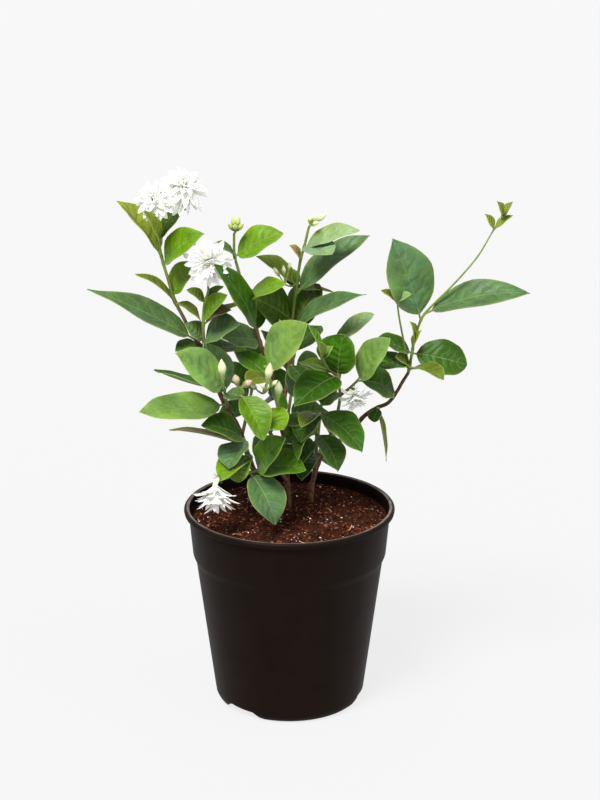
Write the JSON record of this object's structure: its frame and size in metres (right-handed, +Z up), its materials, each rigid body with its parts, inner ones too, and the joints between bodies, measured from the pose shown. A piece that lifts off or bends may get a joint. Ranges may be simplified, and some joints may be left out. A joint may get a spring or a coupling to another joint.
{
  "type": "potted jasmine",
  "caption": "Leafy jasmine shrub with double white blooms and bud bunches on woody canes, growing in a plain dark nursery pot of soil.",
  "frame": {"origin": "centre of the flat face under the pot", "axes": "+Z up, -Y to the front of the pot as seen in the picture, +X to the viewer's right"},
  "size_m": [0.3115, 0.1789, 0.4113],
  "materials": {
    "dark_plastic": "soft satin black-brown polypropylene",
    "peat": "crumbly red-brown potting mix with pale perlite grains",
    "bark": "rough brown bark",
    "foliage": "waxy green leaf with pale veins",
    "petals": "soft matt white petal",
    "buds": "smooth pale green to cream bud"
  },
  "bodies": {
    "root": {"pot": "dark_plastic", "soil": "peat", "cane_left": "bark", "cane_mid": "bark", "cane_right": "bark", "shoot_left_top": "foliage", "shoot_left_bloom": "foliage", "shoot_left": "foliage", "shoot_left_low": "foliage", "shoot_centre_left": "foliage", "shoot_centre": "foliage", "shoot_front": "foliage", "shoot_front_low": "foliage", "shoot_soil": "foliage", "shoot_right_low": "foliage", "shoot_right": "foliage", "shoot_right_tall": "foliage", "twig_right": "foliage", "shoot_back_left": "foliage", "shoot_back_mid": "foliage", "shoot_back_right": "foliage", "bloom_left": "petals", "bloom_top": "petals", "bloom_mid": "petals", "bloom_rim": "petals", "bloom_shade": "petals", "buds_centre_left": "buds", "buds_centre": "buds", "buds_front": "buds", "buds_front_low": "buds", "buds_left": "buds"}
  },
  "joints": []
}
